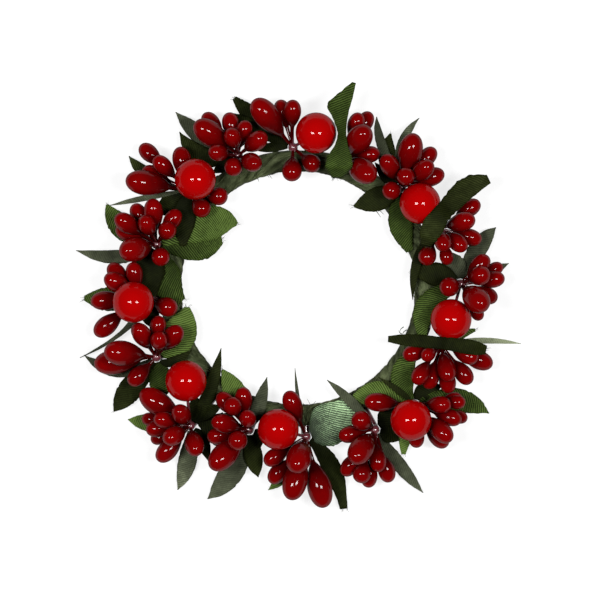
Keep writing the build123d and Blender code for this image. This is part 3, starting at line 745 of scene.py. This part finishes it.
def cut_leaf(line, sides, width, blunt, tree, look, seed, rows, shade):
    """One satin leaf as a grid on the CAD leaf's place. Returns it with its area, its cut end and its way."""
    columns = LEAF_COLUMNS
    stations = np.linspace(0, 1, rows + 1)
    right, left = (leaf_spread(shares, blunt, stations) for shares in sides)
    length = sum(np.linalg.norm(line.point(b) - line.point(a)) for a, b in zip(stations, stations[1:]))
    from_root = abs(2 * stations - 1) if line.is_pair else stations
    start_piece()
    bpy.ops.mesh.primitive_grid_add(x_subdivisions=rows, y_subdivisions=columns, size=2)
    piece = bpy.context.object
    mesh = piece.data
    grid = points_of(mesh)
    heights = np.zeros((rows + 1, columns + 1))
    places = np.zeros((rows + 1, columns + 1, 2))
    reaches = np.zeros((rows + 1, columns + 1))
    edge = np.linspace(-1, 1, columns + 1)
    for row, t in enumerate(stations):
        across = line.across(t)
        ahead = np.array([across[1], -across[0]])
        for column, v in enumerate(edge):
            reach = width / 2 * (right if v < 0 else left)[row] * v
            ragged = 1 + 0.10 * abs(v) ** 6 * noise.noise(Vector((t * 26, v * 3, seed)))
            fringe = max(0, t - 0.9) * LEAF_FRINGE * blunt * noise.noise(Vector((v * 9, seed, 1)))
            places[row, column] = line.point(t) + across * reach * ragged + ahead * fringe
            reaches[row, column] = reach
            inner = line.point(t) + across * reach * 0.85
            hit = tree.ray_cast(Vector((*inner, SKY_HEIGHT)), DOWN)[0]
            guess = heights[row - 1, column] if row else LEAF_START_HEIGHT
            heights[row, column] = (hit or tree.find_nearest(Vector((*inner, guess)))[0]).z
    for _ in range(3):
        heights[1:-1] = (heights[:-2] + 2 * heights[1:-1] + heights[2:]) / 4
    for row, t in enumerate(stations):
        for column, v in enumerate(edge):
            wave = noise.noise(Vector((t * 4.2, v * 0.8, seed)))
            wave += 0.5 * noise.noise(Vector((t * 11, v * 2, seed)))
            curl = LEAF_CURL * v * v * math.sin(math.pi * t) * (-1 if seed % 2 else 1)
            heights[row, column] += look.ripple * wave + curl - LEAF_SINK
    along = np.rint((grid[:, 0] + 1) / 2 * rows).astype(int)
    column = np.rint((grid[:, 1] + 1) / 2 * columns).astype(int)
    grid[:, :2] = places[along, column]
    grid[:, 2] = heights[along, column]
    mesh.vertices.foreach_set("co", grid.ravel())
    # Painted shade at the root, twice as deep on the widest leaf
    painted_root_shade = look.painted_root_shade * (2 if width > WIDE_LEAF else 1)
    put_attribute(mesh, "shade", shade - painted_root_shade * (1 - from_root[along]) ** 1.5)
    uv = mesh.uv_layers[0]
    for loop in mesh.loops:
        row, side = along[loop.vertex_index], column[loop.vertex_index]
        uv.data[loop.index].uv = (stations[row] * length * CM_PER_M, reaches[row, side] * CM_PER_M + seed * 3.7)
    mesh.update()
    widths = (right + left) / 2 * width
    area = float(np.sum(widths[1:] + widths[:-1]) / 2 * length / rows)
    end = [Vector((*places[rows, side], heights[rows, side])) for side in range(columns + 1)]
    return piece, area, end, Vector((*ahead, 0))


def fray(end, ahead, longest, dice):
    """Loose threads that stick out of the cut end of a leaf, one for every 0.6 mm and three more."""
    lines = []
    for _ in range(3 + int((end[0] - end[-1]).length / (0.6 * MM))):
        place = dice.uniform(0, len(end) - 1.001)
        start = end[int(place)].lerp(end[int(place) + 1], place % 1)
        way = Matrix.Rotation(dice.uniform(-0.7, 0.7), 3, "Z") @ ahead
        bow = Vector((-way.y, way.x, dice.uniform(-0.3, 0.5))) * dice.uniform(-0.3, 0.3)
        reach = longest * dice.uniform(0.25, 1)
        lines.append([(start + (way * s + bow * s * s) * reach, 1 - 0.5 * max(0, s)) for s in (-0.5, 0, 0.5, 1)])
    return lines


def leaf_cuts(letter):
    """Line, shares of both sides, width, share at the tip, rows, finish and shade of each leaf of a spray."""
    hub = picture_place(*HUBS_PX[letter])
    cuts = []
    for table, shares, rows in LEAF_TABLES:
        for way_x, way_y, tip_x, tip_y, width, finish, blunt, shade in table.get(letter, []):
            line = LeafLine(hub, HUB_GAP, picture_place(way_x, way_y), picture_place(tip_x, tip_y))
            cuts.append((line, (shares, shares), width * MM, blunt, rows, finish, shade))
    if letter in TOP_LEAVES_PX:
        *spots, width, finish, shade = TOP_LEAVES_PX[letter]
        tip, waist, end = (picture_place(*spot) for spot in spots)
        cuts.append((LeafLine(tip, 0, waist, end), TOP_SHARES[letter], width * MM, 0, TOP_ROWS, finish, shade))
    return cuts


class RING_OT_leaves(Operator):
    """Satin leaves, cut, rippled and tied at each spray"""

    bl_idname = "ring.leaves"
    bl_label = "Leaves"

    def execute(self, context):
        look = context.scene.ring_leaves
        finishes = {
            "dark": satin("dark_satin", look.dark, 0.6, 0.015, 0.9, 0.35, 3.2),
            "ribbed": satin("ribbed_satin", look.ribbed, 0.6, 0.015, 0.9, 0.8, 2.8),
            "grey": satin("matte_back", look.grey, 0.75, 0.02, 0.6, 0.2, 3.8),
            # Painted sheen: the shiny leaf's pale streaks reach 8.5 times its colour
            "painted_sheen": satin("shiny_satin_painted_sheen", look.painted_sheen, 0.45, 0.05, 1.9, 0.5, 8.5),
        }
        order = list(finishes)
        dice = random.Random(31)
        count, threads = 0, []
        for letter in HUBS_PX:
            node = "leaves_" + letter
            trees = [BVHTree.FromPolygons([Vector(p) for p in points], faces) for points, faces in solids_of(node)]
            made, total = [], 0.0
            for line, sides, width, blunt, rows, finish, shade in leaf_cuts(letter):
                tree = nearest_solid(trees, line)
                piece, area, end, ahead = cut_leaf(line, sides, width, blunt, tree, look, count, rows, shade)
                for satin_finish in finishes.values():
                    piece.data.materials.append(satin_finish)
                for face in piece.data.polygons:
                    face.material_index = order.index(finish)
                if blunt > 0 or line.is_pair:
                    threads += fray(end, ahead, look.fray, dice)
                made.append(piece)
                total += area
                if rows != SHADE_FILL_ROWS:
                    count += 1
            piece = join(made)
            piece.data.shade_smooth()
            add_modifier(piece, "SOLIDIFY", thickness=look.thickness, offset=0.0)
            piece.name = piece.data.name = "leaf_set_" + letter
            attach(piece, "root")
            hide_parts(node)
        loose = thread_curve("leaf_frays", threads, FRAY_RADIUS)
        put_attribute(loose.data, "shade", 0.6)
        end_piece(loose, "leaf_frays", "leaf_fabric", finishes["dark"])
        return {"FINISHED"}


def tape_point(angle, turn, height):
    """A point on the tape: angle round the hoop, turn round its section, height over its mean radius."""
    look = bpy.context.scene.ring_tape
    radius = look.radius + height
    out = RING_RADIUS + radius * math.cos(turn)
    height = max(0.0, TAPE_HEIGHT + radius * math.sin(turn))
    return Vector((out * math.cos(angle), out * math.sin(angle), height))


def crease(angle, turn, twist):
    """Height of the tape's creases from 0 to 1, drawn out along its twisted fibres."""
    along, around = angle * RING_RADIUS_MM, turn * WRAP_RADIUS_MM
    u = along * math.cos(twist) + around * math.sin(twist)
    v = -along * math.sin(twist) + around * math.cos(twist)
    wrap = Vector((u * 0.16, v * 0.85, 0.0))
    ring = Vector((math.cos(angle), math.sin(angle), 0)) * 0.35
    large = noise.noise(wrap + ring)
    fine = noise.noise(Vector((u * 0.3, v * 2.4, 4.0)) + ring)
    return 0.5 + 0.55 * large + 0.35 * fine


class RING_OT_tape(Operator):
    """The wound tape: a torus whose surface is creased along its twisted fibres"""

    bl_idname = "ring.tape"
    bl_label = "Wound tape"

    def execute(self, context):
        look = context.scene.ring_tape
        start_piece()
        around, across = TAPE_GRID
        bpy.ops.mesh.primitive_torus_add(major_radius=RING_RADIUS, minor_radius=look.radius, major_segments=around,
                                         minor_segments=across, location=(0, 0, TAPE_HEIGHT))
        piece = context.object
        bpy.ops.object.transform_apply(location=True, rotation=False, scale=False)
        mesh = piece.data
        points = points_of(mesh)
        angle = np.arctan2(points[:, 1], points[:, 0])
        out = np.hypot(points[:, 0], points[:, 1]) - RING_RADIUS
        turn = np.arctan2(points[:, 2] - TAPE_HEIGHT, out)
        crests = np.array([crease(a, t, look.twist) for a, t in zip(angle, turn)])
        spots = [tape_point(a, t, look.crease * (c - 0.5) * 2) for a, t, c in zip(angle, turn, crests)]
        mesh.vertices.foreach_set("co", np.array(spots).ravel())
        # The crest height also paints the tape: painted shade in the creases, painted light on the crests
        put_attribute(mesh, "crest", np.clip(crests, 0, 1))
        uv = mesh.uv_layers[0]
        cosine, sine = math.cos(look.twist), math.sin(look.twist)
        for face in mesh.polygons:
            first_angle, first_turn = angle[face.vertices[0]], turn[face.vertices[0]]
            for index in face.loop_indices:
                vertex = mesh.loops[index].vertex_index
                a = first_angle + math.remainder(angle[vertex] - first_angle, math.tau)
                t = first_turn + math.remainder(turn[vertex] - first_turn, math.tau)
                along, wrapped = a * RING_RADIUS_MM / MM_PER_CM, t * WRAP_RADIUS_MM / MM_PER_CM
                uv.data[index].uv = (along * cosine + wrapped * sine, wrapped * cosine - along * sine)
        mesh.update()
        mesh.shade_smooth()
        green = twisted_fibre("green_tape", look.dark, look.light)
        end_piece(piece, "twisted_tape", "green_tape", green)
        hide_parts("tape_winding")
        return {"FINISHED"}


def thread_curve(name, lines, thickness):
    """Fine threads through rows of points, as one mesh."""
    start_piece()
    curve = bpy.data.curves.new(name, "CURVE")
    curve.dimensions = "3D"
    curve.bevel_depth = thickness
    curve.bevel_resolution = 0
    curve.resolution_u = 2
    curve.use_fill_caps = True
    for line in lines:
        spline = curve.splines.new("NURBS")
        spline.points.add(len(line) - 1)
        for point, (spot, swell) in zip(spline.points, line):
            point.co = (*spot, 1)
            point.radius = swell
        spline.order_u = 3
        spline.use_endpoint_u = True
    made = linked(curve, name)
    made.select_set(True)
    bpy.context.view_layer.objects.active = made
    bpy.ops.object.convert(target="MESH")
    made = bpy.context.object
    made.data.shade_smooth()
    return made


class RING_OT_fibres(Operator):
    """Raised fibres on the tape, its loose ends and the tuft at spray k"""

    bl_idname = "ring.fibres"
    bl_label = "Tape fibres"

    def execute(self, context):
        look = context.scene.ring_tape
        dice = random.Random(23)
        lines = []
        for _ in range(look.fibres):
            angle, turn = dice.uniform(0, math.tau), dice.uniform(0, math.tau)
            lean = look.twist + dice.uniform(-0.5, 0.35)
            reach = dice.uniform(5, 13)
            line = []
            for step in range(FIBRE_STEPS + 1):
                s = reach * step / FIBRE_STEPS
                a = angle + s * math.cos(lean) / RING_RADIUS_MM
                t = turn + s * math.sin(lean) / WRAP_RADIUS_MM
                lift = look.crease * (crease(a, t, look.twist) - 0.5) * 2
                bow = math.sin(math.pi * step / FIBRE_STEPS)
                lift += (0.02 + 0.12 * bow * abs(noise.noise(Vector((s * 0.3, angle, turn))))) * MM
                line.append((tape_point(a, t, lift), 0.25 + 0.75 * bow ** 0.5))
            lines.append(line)
        fibres = thread_curve("tape_fibres", lines, look.fibre_radius)
        pale = twisted_fibre("pale_fibre", look.dark, tint(look.light, 1.25))
        # The raised fibres sit high on the painted crest light, the loose threads lower
        put_attribute(fibres.data, "crest", 0.8)
        end_piece(fibres, "tape_fibres", "green_tape", pale)
        ends = []
        for number, (x0, y0, x1, y1) in enumerate(FRAYS_PX + TUFT_PX):
            root, tip = picture_place(x0, y0), picture_place(x1, y1)
            side = np.array([root[1] - tip[1], tip[0] - root[0]]) * dice.uniform(-0.25, 0.25)
            low, high = TUFT_HEIGHTS if number >= len(FRAYS_PX) else FRAY_HEIGHTS
            line = []
            for step in range(THREAD_STEPS + 1):
                s = step / THREAD_STEPS
                spot = root + (tip - root) * s + side * math.sin(math.pi * s)
                line.append((Vector((*spot, low + (high - low) * s)), 1 - 0.7 * s))
            ends.append(line)
        loose = thread_curve("loose_threads", ends, THREAD_RADIUS)
        put_attribute(loose.data, "crest", 0.35)
        end_piece(loose, "loose_threads", "green_tape", pale)
        return {"FINISHED"}


class RING_OT_wires(Operator):
    """Finishes of the stems and of the wires inside the tape"""

    bl_idname = "ring.wires"
    bl_label = "Stems and wires"

    def execute(self, context):
        look = context.scene.ring_stems
        coat = coated_wire("coated_stem", look.coat, 0.0, 0.28)
        steel = coated_wire("drawn_steel", look.steel, 1.0, 0.35)
        for name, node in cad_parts.items():
            if name.startswith("stem") or name in ("core_wire", "wire_sleeve"):
                node.data.materials.clear()
                node.data.materials.append(coat if name.startswith("stem") else steel)
        return {"FINISHED"}


class RING_OT_stage(Operator):
    """White floor, two soft lamps beside the camera, the room and the camera"""

    bl_idname = "ring.stage"
    bl_label = "Stage"

    def execute(self, context):
        look = context.scene.ring_stage
        start_piece()
        bpy.ops.mesh.primitive_plane_add(size=FLOOR_SIZE, location=(0, 0, -FLOOR_GAP))
        floor = context.object
        bpy.ops.object.transform_apply(location=True, rotation=False, scale=False)
        floor.name = floor.data.name = "floor"
        m = new_material("white_floor")
        path = m.node("ShaderNodeLightPath")
        seen = Value(m, path.outputs["Is Camera Ray"]).math("MAXIMUM", path.outputs["Is Glossy Ray"])
        seen = seen.math("MAXIMUM", path.outputs["Is Transmission Ray"])
        tone = m.mix(seen, grey(look.floor_bounce), grey(look.floor_white))
        matte = m.node("ShaderNodeBsdfDiffuse", {}, {"Color": tone})
        glow = m.node("ShaderNodeEmission", {}, {"Color": grey(1), "Strength": 1.0})
        both = m.node("ShaderNodeMixShader", {}, {0: seen * look.floor_glow, 1: matte.outputs[0],
                                                  2: glow.outputs[0]})
        m.tree.links.new(both.outputs[0], m.output.inputs[0])
        floor.data.materials.append(m.owner)

        room = bpy.data.worlds.new("studio_room")
        context.scene.world = room
        w = Recipe(room, "ShaderNodeOutputWorld")
        up = w.node("ShaderNodeSeparateXYZ", {}, {0: w.node("ShaderNodeTexCoord").outputs["Generated"]}).outputs[2]
        air = w.ramp(up, [(0.0, grey(look.haze)), (0.12, grey(look.haze)), (0.5, grey(look.sky))])
        sky = w.node("ShaderNodeBackground", {}, {"Color": air, "Strength": 1.0})
        w.tree.links.new(sky.outputs[0], w.output.inputs[0])

        for number, side in enumerate((-1, 1)):
            lamp = bpy.data.lights.new(f"softbox_{number + 1}", "AREA")
            lamp.shape = "RECTANGLE"
            lamp.size, lamp.size_y = look.lamp_width, look.lamp_depth
            lamp.energy = look.lamp_power
            holder = linked(lamp, lamp.name)
            tilt = side * look.lamp_tilt
            holder.location = (look.lamp_distance * math.sin(tilt), 0, look.lamp_distance * math.cos(tilt))
            holder.rotation_euler = (0, tilt, 0)

        lens = bpy.data.cameras.new("camera")
        lens.sensor_width = SENSOR_WIDTH
        lens.lens = SENSOR_WIDTH * (look.height - FOCUS_HEIGHT) / (FRAME_PX * PX)
        lens.clip_start, lens.clip_end = 0.1, 50
        camera = linked(lens, "camera")
        camera.location = (*picture_place(*VIEW_PX), look.height)
        context.scene.camera = camera
        context.scene.view_settings.view_transform = "Standard"
        return {"FINISHED"}


class RING_PT_panel(Panel):
    """Lists the pieces of the candle ring and their settings"""

    bl_label = "Candle ring"
    bl_idname = "RING_PT_panel"
    bl_space_type = "VIEW_3D"
    bl_region_type = "UI"
    bl_category = "Candle ring"

    def draw(self, context):
        for maker in OPERATORS:
            self.layout.operator(maker.bl_idname)
        for group_name, group in SETTINGS:
            box = self.layout.box()
            box.label(text=group.__doc__)
            settings = getattr(context.scene, group_name)
            for name in settings.bl_rna.properties.keys():
                if name not in ("rna_type", "name"):
                    box.prop(settings, name)


OPERATORS = (RING_OT_tape, RING_OT_fibres, RING_OT_drops, RING_OT_large_berries, RING_OT_leaves, RING_OT_wires,
             RING_OT_stage)
SETTINGS = (("ring_tape", TapeSettings), ("ring_berries", BerrySettings), ("ring_leaves", LeafSettings),
            ("ring_stems", StemSettings), ("ring_stage", StageSettings))


def register():
    for name, group in SETTINGS:
        bpy.utils.register_class(group)
        setattr(bpy.types.Scene, name, PointerProperty(type=group))
    for maker in (*OPERATORS, RING_PT_panel):
        bpy.utils.register_class(maker)


def unregister():
    for maker in reversed((*OPERATORS, RING_PT_panel)):
        bpy.utils.unregister_class(maker)
    for name, group in reversed(SETTINGS):
        delattr(bpy.types.Scene, name)
        bpy.utils.unregister_class(group)


def main():
    register()
    bpy.ops.ring.tape()
    bpy.ops.ring.fibres()
    bpy.ops.ring.drops()
    bpy.ops.ring.large_berries()
    bpy.ops.ring.leaves()
    bpy.ops.ring.wires()
    bpy.ops.ring.stage()


if __name__ == "__main__":
    main()
